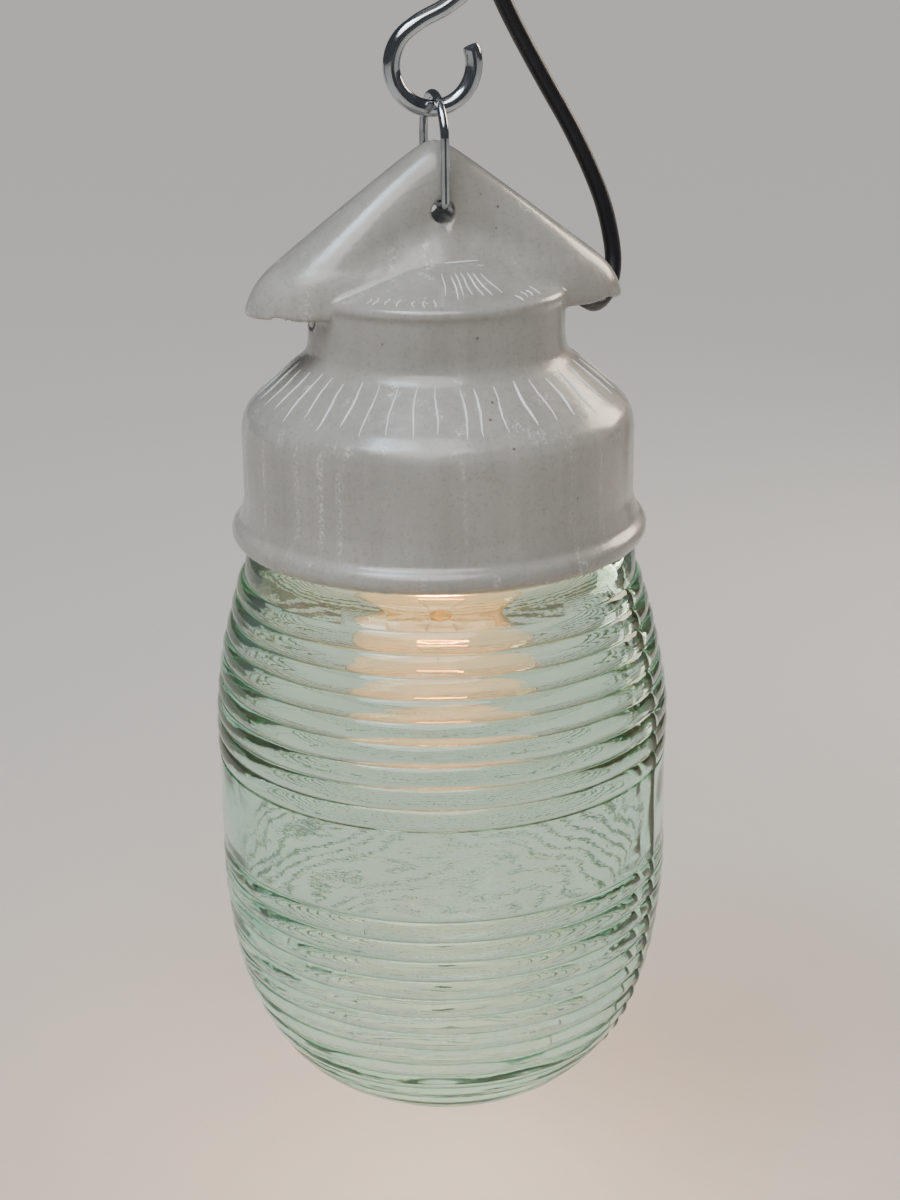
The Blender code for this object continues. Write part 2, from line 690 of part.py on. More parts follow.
def rounded_route(points, step):
    """Points a fixed distance apart on the smooth curve through a route's points."""
    path = [Vector(p) for p in points]
    path = [2 * path[0] - path[1]] + path + [2 * path[-1] - path[-2]]
    fine = []
    for a, b, c, d in zip(path, path[1:], path[2:], path[3:]):
        for i in range(24):
            t = i / 24
            fine.append(0.5 * (2 * b + (c - a) * t + (2 * a - 5 * b + 4 * c - d) * t * t
                               + (3 * b - a - 3 * c + d) * t ** 3))
    fine.append(path[-2])
    total = sum((b - a).length for a, b in zip(fine, fine[1:]))
    count = max(2, round(total / step))
    made = [fine[0]]
    gone = 0.0
    for a, b in zip(fine, fine[1:]):
        gone += (b - a).length
        if gone >= len(made) * total / count and len(made) < count:
            made.append(b)
    return [tuple(p) for p in made + [fine[-1]]]


def cable():
    """The hanging cable in three lengths that meet end to end."""
    route = rounded_route(CORD_ROUTE, CORD_STEP)
    upper, lower = CORD_SPLITS
    lengths = {
        "cable_upper": [p for p in route if p[2] > upper],
        "cable_middle": [p for p in route if upper >= p[2] > lower],
        "cable_lower": [p for p in route if p[2] <= lower],
    }
    names = list(lengths)
    for first, second in zip(names, names[1:]):
        a, b = Vector(lengths[first][-1]), Vector(lengths[second][0])
        meet = (a + b) / 2
        back = (b - a).normalized() * GAP / 2
        lengths[first].append(tuple(meet - back))
        lengths[second].insert(0, tuple(meet + back))
    for name, points in lengths.items():
        smooth(tube(name, points, CORD_RADIUS, "black_cable"), 60)


def pivot(name, height, nodes, parent=None):
    """An empty on a swinging joint's axis, carrying the pieces that swing with it."""
    empty = bpy.data.objects.new(name, None)
    PARTS.objects.link(empty)
    empty.matrix_world = Matrix.Translation((0, 0, height * MM))
    carried = [bpy.data.objects[node] for node in nodes]
    bpy.context.view_layer.update()
    for obj in carried:
        world = obj.matrix_world.copy()
        obj.parent = empty
        obj.matrix_parent_inverse = empty.matrix_world.inverted()
        obj.matrix_world = world
    if parent:
        empty.parent = parent
        empty.matrix_parent_inverse = parent.matrix_world.inverted()
    bpy.context.view_layer.update()
    return empty


def pivots():
    """The hook swings in the eye, the bail in the hook and the cap on the bail."""
    fixed = ("ceiling_", "plate_screw_", "cable_upper")
    upper = ("s_hook", "cable_middle", "hanger_wire")
    below = [obj.name for obj in PARTS.objects
             if not obj.name.startswith(fixed) and obj.name not in upper]
    hook = pivot("hook_pivot", HOOK_PIVOT, ["s_hook", "cable_middle"])
    bail = pivot("bail_pivot", BAIL_PIVOT, ["hanger_wire"], hook)
    pivot("cap_pivot", CAP_PIVOT, below, bail)


ceiling_plate()
ceiling_eye()
ceiling_screws()
ceiling_bush()
s_hook()
hanger_wire()
porcelain_cap()
cable_grommet()
blanking_plug()
glass_jar()
sealing_ring()
holder_bracket()
holder_screws()
lampholder_body()
holder_contacts()
cable_cores()
lamp_envelope()
lamp_shell()
lamp_inside()
cable()
pivots()
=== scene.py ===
"""Looks of the barn lantern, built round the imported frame. Lengths are in millimetres unless said."""

import json
import math
import random

import bmesh
import bpy
import numpy as np
from mathutils import Matrix, Vector


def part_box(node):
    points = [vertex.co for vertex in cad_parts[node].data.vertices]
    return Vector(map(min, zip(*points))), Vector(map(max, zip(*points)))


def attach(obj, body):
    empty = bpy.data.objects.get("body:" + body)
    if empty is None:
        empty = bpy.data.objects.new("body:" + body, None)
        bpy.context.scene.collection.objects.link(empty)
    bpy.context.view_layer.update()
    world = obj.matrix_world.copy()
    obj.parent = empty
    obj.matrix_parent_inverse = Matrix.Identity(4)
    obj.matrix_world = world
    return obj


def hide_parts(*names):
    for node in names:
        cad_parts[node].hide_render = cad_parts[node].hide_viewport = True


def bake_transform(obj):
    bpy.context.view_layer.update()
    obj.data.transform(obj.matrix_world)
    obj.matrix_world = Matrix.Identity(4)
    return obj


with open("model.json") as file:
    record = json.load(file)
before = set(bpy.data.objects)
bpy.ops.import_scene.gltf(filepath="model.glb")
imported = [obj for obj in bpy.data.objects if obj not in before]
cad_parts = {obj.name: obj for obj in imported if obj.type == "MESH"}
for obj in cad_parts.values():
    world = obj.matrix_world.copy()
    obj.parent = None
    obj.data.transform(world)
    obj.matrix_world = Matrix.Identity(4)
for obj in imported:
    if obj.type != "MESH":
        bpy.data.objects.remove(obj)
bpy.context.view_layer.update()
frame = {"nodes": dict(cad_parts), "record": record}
MM = 0.001

# Heights, read from the frame
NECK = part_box("porcelain_cap")[0].z / MM + 63.0
APEX = NECK + 59.8
BORE = NECK + 39.9
WING_BOTTOM = NECK + 10.3
POCKET_CENTRE = NECK + 9.0
ENTRY = NECK + 11.0
WAIST_TOP = NECK - 120.0
WAIST_LOW = NECK - 160.0
GLASS_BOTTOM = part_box("glass_jar")[0].z / MM
FLOOR = GLASS_BOTTOM - 60.0

CORD_ROUTE = [
    (14.0, 10.0, -3.5), (14.0, 10.2, -14.0), (16.2, 11.0, -26.0), (20.6, 12.4, -38.0),
    (26.4, 14.0, -50.0), (33.2, 15.6, -62.0), (40.4, 16.8, -74.0), (47.6, 17.6, -86.0),
    (53.8, 18.0, -98.0), (58.4, 17.9, -109.0), (61.0, 17.2, -119.0), (61.9, 16.0, -128.0),
    (60.4, 13.8, -134.8), (57.0, 10.6, -138.8), (52.6, 6.4, -139.8), (48.0, 2.2, -137.4),
    (44.0, 0.2, -135.2), (36.0, 0.0, -135.0), (29.0, 0.0, -135.0),
]
CORD_RADIUS = 2.65
CORD_SPLITS = (-50.0, -98.0)

HOOK_WIRE = 2.6
HOOK_RADIUS = 12.5
HOOK_TOP = -36.1
HOOK_LOW = -64.7
BAIL_WIRE = 1.35
BAIL_HALF = 13.0
ROOF_HALF_LENGTH = 58.7
ROOF_HALF_WIDTH = 20.0
CREASE = NECK + 24.3     # where the steep roof turns into the wings' upright walls
CREASE_STEP = 0.3        # how far the wings' walls stand out below it
GLASS_RADIUS = 72.6
GLASS_WALL = 5.4
BASE_DEPTH = 92.0
RIB_DEPTH = 1.3
RIB_PITCH = 6.78
# Places along one rib, closer together near its sharp groove
RIB_PHASES = (0, 0.012, 0.035, 0.075, 0.13, 0.21, 0.31, 0.42, 0.5, 0.58, 0.69, 0.79, 0.87, 0.925, 0.965,
              0.988)
RIB_TOP = NECK - 73.0
UPPER_RIBS = 9
LOWER_RIBS = 15
BAND_LOW = NECK - 163.0
LAMP_TOP = NECK - 26.4
LAMP_LENGTH = 105.0
LAMP_PITCH = 3.62
GLOBE_RADIUS = 30.0
GLOW_HEIGHT = LAMP_TOP - 74.0
COIL_HALF_LENGTH = 8.0
COIL_TURNS = 60
COIL_STEPS = 720
COIL_RADIUS = 0.36
COIL_WIRE = 0.14
SEAM_DIRECTION = 52.0    # both directions are degrees from the front towards +X
BEAD_PIT_DIRECTION = 23.6
SEAM_RISE = 0.55
SEAM_WIDTH = 1.1
MOULD_STEP = 0.35        # how far the mould's two halves are out of line in height
BEAD_PIT_RADIUS = 65.7
BUBBLES = 110


def linked(name, data):
    """A new object in the scene, holding a mesh, a light or a camera."""
    obj = bpy.data.objects.new(name, data)
    bpy.context.scene.collection.objects.link(obj)
    return obj


# --- camera ---------------------------------------------------------------------------------


LENS = 64.5
CAMERA_PLACE = (-0.15652, -0.62778, -0.004)    # metres
CAMERA_FORWARD = (0.23258208, 0.91445606, -0.33117321)
CAMERA_ROLL = 0.72


def make_camera():
    """The view from slightly left of the front, looking about 19 degrees down."""
    data = bpy.data.cameras.new("camera")
    data.lens = LENS
    data.sensor_fit = "VERTICAL"
    data.sensor_height = 36.0
    data.sensor_width = 36.0
    camera = linked("camera", data)
    forward = Vector(CAMERA_FORWARD)
    camera.rotation_mode = "QUATERNION"
    roll = Matrix.Rotation(math.radians(CAMERA_ROLL), 3, forward)
    camera.rotation_quaternion = (roll @ forward.to_track_quat("-Z", "Y").to_matrix()).to_quaternion()
    camera.location = CAMERA_PLACE
    bpy.context.scene.camera = camera


make_camera()


# --- mesh helpers ---------------------------------------------------------------------------


def to_object(name, points, faces, finish=None, angle=40.0):
    mesh = bpy.data.meshes.new(name)
    mesh.from_pydata([tuple(p) for p in np.asarray(points) * MM], [], faces)
    mesh.validate()
    obj = linked(name, mesh)
    if finish:
        mesh.materials.append(finish)
    return shaded(obj, angle)


def shaded(obj, angle):
    """Smooth shading, with edges sharper than an angle left sharp."""
    obj.data.shade_smooth()
    obj.data.set_sharp_from_angle(angle=math.radians(angle))
    return obj


def welded(obj, distance=0.00002):
    bm = bmesh.new()
    bm.from_mesh(obj.data)
    bmesh.ops.remove_doubles(bm, verts=bm.verts, dist=distance)
    bmesh.ops.dissolve_degenerate(bm, edges=bm.edges, dist=0.000001)
    bmesh.ops.recalc_face_normals(bm, faces=bm.faces)
    bm.to_mesh(obj.data)
    bm.free()
    return obj


def skin(name, rings, finish=None, loop=False, caps=True, angle=40.0):
    """A surface over rings of points. loop joins the last ring to the first."""
    rings = np.asarray(rings)
    count, around = rings.shape[:2]
    faces = []
    for i in range(count if loop else count - 1):
        a, b = i * around, (i + 1) % count * around
        for j in range(around):
            k = (j + 1) % around
            faces.append((a + j, a + k, b + k, b + j))
    if caps and not loop:
        faces.append(tuple(range(around - 1, -1, -1)))
        faces.append(tuple(range((count - 1) * around, count * around)))
    return to_object(name, rings.reshape(-1, 3), faces, finish, angle)


def turned(name, profile, finish=None, segments=96, loop=False, centre=(0, 0), angle=40.0):
    turns = np.linspace(0, math.tau, segments, endpoint=False)
    rings = [[(centre[0] + r * math.cos(a), centre[1] + r * math.sin(a), z) for a in turns]
             for r, z in profile]
    return welded(skin(name, rings, finish, loop, False, angle))


def arc(centre, radius, start, end, count):
    """Points on an arc between two angles in degrees."""
    turns = [math.radians(start + (end - start) * i / count) for i in range(count + 1)]
    return [(centre[0] + radius * math.cos(a), centre[1] + radius * math.sin(a)) for a in turns]


def swept(name, path, radius, finish=None, sides=20):
    """A round tube along a path, whose radius is a number or one number for each point."""
    path = np.asarray(path, float)
    radii = np.broadcast_to(np.asarray(radius, float), (len(path),))
    along = np.gradient(path, axis=0)
    along /= np.linalg.norm(along, axis=1)[:, None]
    side = np.cross(along[0], (0.3, 0.5, 0.81))
    side /= np.linalg.norm(side)
    turns = np.linspace(0, math.tau, sides, endpoint=False)
    rings = []
    for point, direction, r in zip(path, along, radii):
        side = side - direction * (side @ direction)
        side /= np.linalg.norm(side)
        other = np.cross(direction, side)
        rings.append(point + r * (np.cos(turns)[:, None] * side + np.sin(turns)[:, None] * other))
    return skin(name, rings, finish, angle=50.0)


def round_ends(path, radius, edge=0.35):
    """Radii that chamfer both ends of a cut wire."""
    radii = np.full(len(path), radius, float)
    gone = np.concatenate(([0], np.cumsum(np.linalg.norm(np.diff(path, axis=0), axis=1))))
    near = np.minimum(gone, gone[-1] - gone)
    return radii - edge * np.clip(1 - near / edge, 0, 1)


def rounded_route(points, step):
    """Points a fixed distance apart on the smooth curve through a route's points."""
    path = [Vector(p) for p in points]
    path = [2 * path[0] - path[1]] + path + [2 * path[-1] - path[-2]]
    fine = []
    for a, b, c, d in zip(path, path[1:], path[2:], path[3:]):
        for i in range(24):
            t = i / 24
            fine.append(0.5 * (2 * b + (c - a) * t + (2 * a - 5 * b + 4 * c - d) * t * t
                               + (3 * b - a - 3 * c + d) * t ** 3))
    fine.append(path[-2])
    fine = np.array(fine)
    gone = np.concatenate(([0], np.cumsum(np.linalg.norm(np.diff(fine, axis=0), axis=1))))
    wanted = np.linspace(0, gone[-1], max(3, round(gone[-1] / step) + 1))
    return np.stack([np.interp(wanted, gone, fine[:, k]) for k in range(3)], axis=1)


def ease(value, low, high):
    """0 below low, 1 above high and a smooth step between."""
    t = np.clip((value - low) / (high - low), 0, 1)
    return t * t * (3 - 2 * t)


def boolean(target, other, operation="DIFFERENCE"):
    modifier = target.modifiers.new(operation, "BOOLEAN")
    modifier.operation = operation
    modifier.object = other
    modifier.solver = "EXACT"


def applied(obj):
    """Makes an object's modifiers final and removes what cut it."""
    used = [m.object for m in obj.modifiers if m.type == "BOOLEAN"]
    view = obj.evaluated_get(bpy.context.evaluated_depsgraph_get())
    old = obj.data
    mesh = bpy.data.meshes.new_from_object(view)
    obj.modifiers.clear()
    obj.data = mesh
    bpy.data.meshes.remove(old)
    for other in used:
        bpy.data.objects.remove(other, do_unlink=True)
    return obj


# --- materials ------------------------------------------------------------------------------


class Finish:
    """A Principled material, with short calls for the nodes that feed it."""

    def __init__(self, name, colour, roughness, metallic=0.0, **fixed):
        self.material = bpy.data.materials.new(name)
        self.material.use_nodes = True
        self.nodes = self.material.node_tree.nodes
        self.links = self.material.node_tree.links
        self.shader = self.nodes["Principled BSDF"]
        self.output = self.nodes["Material Output"]
        values = {"Base Color": (*colour, 1.0), "Roughness": roughness, "Metallic": metallic}
        values.update({key.replace("_", " "): value for key, value in fixed.items()})
        for key, value in values.items():
            self.shader.inputs[key].default_value = value
        self.place = self.nodes.new("ShaderNodeTexCoord").outputs["Object"]

    def mapped(self, scale):
        node = self.nodes.new("ShaderNodeMapping")
        node.inputs["Scale"].default_value = scale
        self.links.new(self.place, node.inputs["Vector"])
        return node.outputs["Vector"]

    def noise(self, scale, detail=3.0, stretch=(1, 1, 1)):
        node = self.nodes.new("ShaderNodeTexNoise")
        node.inputs["Scale"].default_value = scale
        node.inputs["Detail"].default_value = detail
        self.links.new(self.mapped(stretch), node.inputs["Vector"])
        return node.outputs["Fac"]

    def cells(self, scale, stretch=(1, 1, 1)):
        node = self.nodes.new("ShaderNodeTexVoronoi")
        node.inputs["Scale"].default_value = scale
        self.links.new(self.mapped(stretch), node.inputs["Vector"])
        return node.outputs["Distance"]

    def ramp(self, value, low, high, first=(0, 0, 0), last=(1, 1, 1)):
        node = self.nodes.new("ShaderNodeValToRGB")
        stops = node.color_ramp.elements
        stops[0].position, stops[1].position = low, high
        stops[0].color, stops[1].color = (*first, 1), (*last, 1)
        self.links.new(value, node.inputs["Fac"])
        return node.outputs["Color"]

    def math(self, operation, a, b):
        node = self.nodes.new("ShaderNodeMath")
        node.operation = operation
        for socket, value in zip(node.inputs, (a, b)):
            if isinstance(value, (int, float)):
                socket.default_value = value
            else:
                self.links.new(value, socket)
        return node.outputs["Value"]

    def mix(self, factor, a, b):
        node = self.nodes.new("ShaderNodeMix")
        node.data_type = "RGBA"
        for socket, value in ((node.inputs[0], factor), (node.inputs[6], a), (node.inputs[7], b)):
            if isinstance(value, tuple):
                socket.default_value = (*value, 1.0)
            elif isinstance(value, (int, float)):
                socket.default_value = value
            else:
                self.links.new(value, socket)
        return node.outputs[2]

    def colour(self, value):
        self.links.new(value, self.shader.inputs["Base Color"])
        return self

    def rough(self, value, low, high):
        found = self.ramp(value, 0.3, 0.7, (low,) * 3, (high,) * 3)
        self.links.new(found, self.shader.inputs["Roughness"])
        return self

    def bump(self, *layers):
        """Layers of (height, strength, distance in millimetres)."""
        last = None
        for height, strength, distance in layers:
            node = self.nodes.new("ShaderNodeBump")
            node.inputs["Strength"].default_value = strength
            node.inputs["Distance"].default_value = distance * MM
            self.links.new(height, node.inputs["Height"])
            if last:
                self.links.new(last, node.inputs["Normal"])
            last = node.outputs["Normal"]
        self.links.new(last, self.shader.inputs["Normal"])
        return self


def glaze():
    """Off-white stoneware glaze: clouded, streaked down the sides, with dark pinholes."""
    f = Finish("porcelain_glaze", (0.60, 0.59, 0.56), 0.28, Coat_Weight=0.6, Coat_Roughness=0.16)
    cloud = f.mix(f.ramp(f.noise(26, 5), 0.3, 0.7), (0.31, 0.292, 0.262), (0.41, 0.39, 0.355))
    runs = f.ramp(f.noise(260, 4, (1, 1, 0.04)), 0.40, 0.70)
    streaky = f.mix(f.math("MULTIPLY", runs, 0.28), cloud, (0.25, 0.235, 0.205))
    pale_runs = f.ramp(f.noise(160, 3, (1, 1, 0.03)), 0.60, 0.70)
    grain = f.ramp(f.noise(1100, 2), 0.48, 0.58)
    pale_specks = f.math("MULTIPLY", f.math("MULTIPLY", pale_runs, grain), 0.55)
    streaky = f.mix(pale_specks, streaky, (0.78, 0.77, 0.75))
    speckle = f.math("MULTIPLY", f.ramp(f.noise(900, 2), 0.56, 0.66), 0.30)
    streaky = f.mix(speckle, streaky, (0.21, 0.195, 0.17))
    pins = f.ramp(f.cells(170), 0.045, 0.10, (1, 1, 1), (0, 0, 0))
    sparse = f.ramp(f.noise(60, 2), 0.52, 0.60)
    pits = f.math("MULTIPLY", pins, sparse)
    f.colour(f.mix(pits, streaky, (0.13, 0.11, 0.09)))
    f.rough(f.noise(90, 4), 0.20, 0.42)
    return f.bump((f.noise(320, 4), 0.35, 0.25), (f.noise(70, 3), 0.5, 0.8), (pits, -0.6, 0.3)).material


def glaze_run_finish():
    """The same glaze where it has run thick: paler and glossier."""
    f = Finish("thick_glaze", (0.80, 0.80, 0.78), 0.15, Coat_Weight=0.4, Coat_Roughness=0.08)
    f.colour(f.mix(f.ramp(f.noise(200, 3), 0.3, 0.7), (0.72, 0.72, 0.70), (0.86, 0.86, 0.85)))
    return f.bump((f.noise(700, 2), 0.15, 0.1)).material


def holder_glaze():
    """The lampholder's whiter glaze, with fine specks."""
    f = Finish("holder_glaze", (0.80, 0.79, 0.76), 0.25, Coat_Weight=0.3)
    specks = f.ramp(f.cells(420), 0.05, 0.12, (1, 1, 1), (0, 0, 0))
    f.colour(f.mix(specks, (0.80, 0.79, 0.76), (0.45, 0.42, 0.38)))
    f.rough(f.noise(160, 3), 0.18, 0.36)
    return f.bump((f.noise(260, 3), 0.15, 0.3)).material


def green_glass():
    """Thick pressed glass, green by its depth, with a slightly wavy skin and seeds."""
    f = Finish("pressed_green_glass", (0.985, 1.0, 0.99), 0.012, Transmission_Weight=0.988, IOR=1.50)
    f.bump((f.noise(34, 2), 0.35, 1.2), (f.noise(210, 3, (1, 1, 2.2)), 0.22, 0.25))
    depth = f.nodes.new("ShaderNodeVolumeAbsorption")
    depth.inputs["Color"].default_value = (0.03, 0.82, 0.52, 1.0)
    depth.inputs["Density"].default_value = 31.0
    f.links.new(depth.outputs["Volume"], f.output.inputs["Volume"])
    return f.material


def zinc(name, colour, low, high):
    """Bright zinc plate with drawing marks and dull patches."""
    f = Finish(name, colour, 0.3, 1.0)
    dull = f.ramp(f.noise(120, 4), 0.42, 0.68)
    f.colour(f.mix(dull, colour, tuple(c * 0.72 for c in colour)))
    f.rough(f.noise(260, 3), low, high)
    return f.bump((f.noise(900, 2), 0.12, 0.12), (f.noise(180, 3), 0.12, 0.3)).material


def rubber(name, colour, low, high):
    f = Finish(name, colour, 0.5)
    dust = f.ramp(f.noise(140, 4), 0.5, 0.75)
    f.colour(f.mix(dust, colour, tuple(c * 1.8 + 0.002 for c in colour)))
    f.rough(f.noise(200, 3), low, high)
    return f.bump((f.noise(1500, 2), 0.18, 0.12), (f.noise(90, 2), 0.10, 0.4)).material


def plastic(name, colour):
    f = Finish(name, colour, 0.45)
    f.colour(f.mix(f.ramp(f.noise(300, 3), 0.35, 0.65), colour, tuple(c * 0.75 for c in colour)))
    f.rough(f.noise(400, 2), 0.35, 0.55)
    return f.bump((f.noise(900, 2), 0.1, 0.1)).material


def lamp_glass():
    """Thin glass, faintly smoked, with a slightly uneven skin."""
    f = Finish("clear_lamp_glass", (1.0, 0.97, 0.90), 0.02, Transmission_Weight=0.984, IOR=1.45)
    return f.bump((f.noise(60, 2), 0.08, 0.4)).material


def glow():
    f = Finish("glowing_wire", (1.0, 0.6, 0.25), 0.4)
    f.shader.inputs["Emission Color"].default_value = (1.0, 0.36, 0.06, 1.0)
    f.shader.inputs["Emission Strength"].default_value = 6300.0
    return f.bump((f.noise(900, 1), 0.05, 0.05)).material


FINISHES = {
    "porcelain": glaze(),
    "white_porcelain": holder_glaze(),
    "green_glass": green_glass(),
    "lamp_glass": lamp_glass(),
    "zinc": zinc("bright_zinc", (0.50, 0.52, 0.55), 0.07, 0.18),
    "steel": zinc("plain_steel", (0.50, 0.49, 0.47), 0.25, 0.45),
    "brass": zinc("stamped_brass", (0.80, 0.58, 0.26), 0.20, 0.42),
    "black_cable": rubber("black_cable_sheath", (0.006, 0.006, 0.010), 0.34, 0.48),
    "black_rubber": rubber("matt_black_rubber", (0.022, 0.022, 0.022), 0.55, 0.75),
    "brown_core": plastic("brown_core_sheath", (0.22, 0.09, 0.04)),
    "blue_core": plastic("blue_core_sheath", (0.05, 0.12, 0.45)),
    "filament": glow(),
}
FINISHES["porcelain_runs"] = glaze_run_finish()


def stand_for(obj, node, body):
    """Puts an object in a CAD node's place, on the body that carries it."""
    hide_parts(node)
    if body:
        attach(obj, body)
    return obj


# --- cable ----------------------------------------------------------------------------------


def cable():
    """The hanging cable swept along one route and cut into three lengths at set heights."""
    route = rounded_route(CORD_ROUTE, 1.6)
    upper, lower = CORD_SPLITS
    first = int(np.argmax(route[:, 2] <= upper))
    second = int(np.argmax(route[:, 2] <= lower))
    lengths = (
        ("cable_upper", route[:first + 1], "root", "s_hook"),
        ("cable_middle", route[first:second + 1], "s_hook", "bail"),
        ("cable_lower", route[second:], "bail", "cap"),
    )
    for node, path, above, below in lengths:
        obj = swept(node.replace("cable", "sheath"), path, CORD_RADIUS, FINISHES["black_cable"], 20)
        welded(obj)
        stand_for(obj, node, None)
        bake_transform(obj)


cable()


# --- hook, bail and ceiling plate -----------------------------------------------------------


def s_hook():
    middle = (HOOK_TOP + HOOK_LOW) / 2
    bend = arc((0, HOOK_LOW), HOOK_RADIUS, 24, -242, 60)
    half = bend[:-1] + [(-2.9, middle - 1.35)]
    other = [(-x, 2 * middle - z) for x, z in reversed(half)]
    path = np.array([(x, 0, z) for x, z in half + other])
    path = rounded_route([tuple(p) for p in path], 0.9)
    obj = swept("hook_wire", path, round_ends(path, HOOK_WIRE), FINISHES["zinc"], 32)
    stand_for(obj, "s_hook", "s_hook")


def bail():
    top = HOOK_LOW - HOOK_RADIUS + HOOK_WIRE + 0.3 + BAIL_WIRE
    low = BORE + 3.55 - BAIL_WIRE - 0.3
    corner = 2.4
    crown = arc((0, top - BAIL_HALF), BAIL_HALF, 180, 0, 40)
    left = arc((-BAIL_HALF + corner, low + corner), corner, 270, 180, 8)
    right = [(-y, z) for y, z in reversed(left)]
    outline = [(-0.6, low)] + left + crown + right + [(0.6, low)]
    path = rounded_route([(0, y, z) for y, z in outline], 0.6)
    obj = swept("bail_wire", path, round_ends(path, BAIL_WIRE, edge=0.25), FINISHES["zinc"], 20)
    stand_for(obj, "hanger_wire", "bail")


def eye():
    loop = arc((0, -20.0), 9.0, 82, 440, 70)
    outline = [(0, -2.0), (0, -9.0)] + loop[1:-1]
    path = rounded_route([(0, y, z) for y, z in outline], 0.8)
    obj = swept("eye_wire", path, round_ends(path, 2.5), FINISHES["zinc"], 24)
    stand_for(obj, "ceiling_eye", "root")


def plate():
    profile = [(0, 0)] + [(30.4, 0)] + arc((30.4, -1.6), 1.6, 90, 0, 6) + arc((30.4, -2.4), 1.6, 0, -80, 6)
    profile += [(26.6, -4.0), (26.0, -3.7), (25.2, -3.7), (24.6, -4.0), (0, -4.0)]
    obj = turned("plate_disc", profile, FINISHES["zinc"], 128)
    # The eye's hole is blind, so its cutter starts inside the plate; the others go through
    holes = [(0, 0, 2.8, -1.5), (14, 10, 5.3, 1.0), (0, 22, 2.4, 1.0), (0, -22, 2.4, 1.0)]
    for i, (x, y, radius, top) in enumerate(holes):
        cutter = turned(f"plate_cut_{i}", [(0, top), (radius, top), (radius, -9), (0, -9)], None, 40,
                        centre=(x, y))
        boolean(obj, cutter)
    shaded(applied(obj), 40)
    stand_for(obj, "ceiling_plate", "root")


def plate_screws():
    for side, word in ((-1, "front"), (1, "rear")):
        y = 22.0 * side
        head = arc((0, -3.4), 4.7, -26, -90, 10)
        profile = [(0, -0.6), (2.0, -0.6), (2.0, -4.3), (4.2, -4.3), (4.2, -5.0)]
        profile += [(r, min(-5.2, z + 1.6)) for r, z in head[1:]]
        screw = turned(f"screw_{word}", profile, FINISHES["zinc"], 48, centre=(0, y))
        for turn in (0, 90):
            slot_box = block_mesh(f"slot_{word}_{turn}", (3.6, 0.8, 2.0), (0, y, -6.6), turn)
            boolean(screw, slot_box)
        shaded(applied(screw), 35)
        stand_for(screw, f"plate_screw_{word}", "root")


def block_mesh(name, size, centre, turn=0):
    bm = bmesh.new()
    bmesh.ops.create_cube(bm, size=1.0)
    bmesh.ops.scale(bm, vec=[s * MM for s in size], verts=bm.verts)
    bmesh.ops.rotate(bm, matrix=Matrix.Rotation(math.radians(turn), 3, "Z"), verts=bm.verts)
    bmesh.ops.translate(bm, vec=[c * MM for c in centre], verts=bm.verts)
    mesh = bpy.data.meshes.new(name)
    bm.to_mesh(mesh)
    bm.free()
    return linked(name, mesh)


def bush():
    profile = [(3.0, -0.5), (5.0, -0.5), (5.0, -4.3)] + arc((6.0, -5.0), 0.6, 80, -60, 5)
    profile += [(5.6, -7.0), (5.2, -7.3), (5.5, -7.7), (5.1, -8.9), (4.7, -9.2), (4.9, -9.6)]
    profile += arc((4.1, -10.5), 0.5, 10, -90, 5) + [(3.0, -11.0)]
    obj = turned("cord_bush", profile, FINISHES["black_rubber"], 56, True, (14, 10))
    stand_for(obj, "ceiling_cord_bush", "root")


s_hook()
bail()
eye()
plate()
plate_screws()
bush()


# --- porcelain cap --------------------------------------------------------------------------


def ridge_height(x):
    drop = 0.76 * math.hypot(x, 3.7) - 2.8
    tip = max(0.0, (abs(x) - 46.0) / 12.7)
    return APEX - drop - 5.5 * tip ** 4


def roof_section(x, rows):
    """One cross-section of the saddle roof: an arch that turns into a tall gable at the middle."""
    reach = min(1.0, abs(x) / ROOF_HALF_LENGTH)
    width = ROOF_HALF_WIDTH * max(0.02, 1 - reach ** 3.2) ** 0.5
    top = ridge_height(x)
    low = WING_BOTTOM
    spread = float(ease(abs(x), 3.0, 42.0))
    points = []
    for i in range(-rows, rows + 1):
        t = (abs(i) / rows) ** 1.5
        wing = (1 - (1 - t) ** 2.2) ** (1 / 2.2)
        crown = (1 - (1 - min(1.0, t / 0.4)) ** 2.2) ** (1 / 2.2)
        gable = 0.54 * crown + 0.46 * float(ease(t, 0.42, 0.85))
        side = (gable + (wing - gable) * spread) * width * (1 - 0.06 * float(ease(t, 0.9, 1.0)))
        z = top - (top - low) * t
        if side > 4.0:
            side += CREASE_STEP * (1 - float(ease(z, CREASE - 1.0, CREASE + 1.0))) * (1 - reach ** 4)
        points.append((x, math.copysign(side, i) if i else 0.0, z))
    return points


def roof_front(x, z):
    """The roof's half width at a height."""
    half = [(height, abs(side)) for _, side, height in roof_section(x, 26)[26:]]
    heights, sides = zip(*reversed(half))
    return float(np.interp(z, heights, sides))


def saddle_roof(columns=96, rows=26):
    rings = []
    for i in range(columns + 1):
        x = -ROOF_HALF_LENGTH * 0.998 * math.cos(math.pi * i / columns)
        rings.append(roof_section(x, rows))
    return welded(skin("saddle_roof", rings))


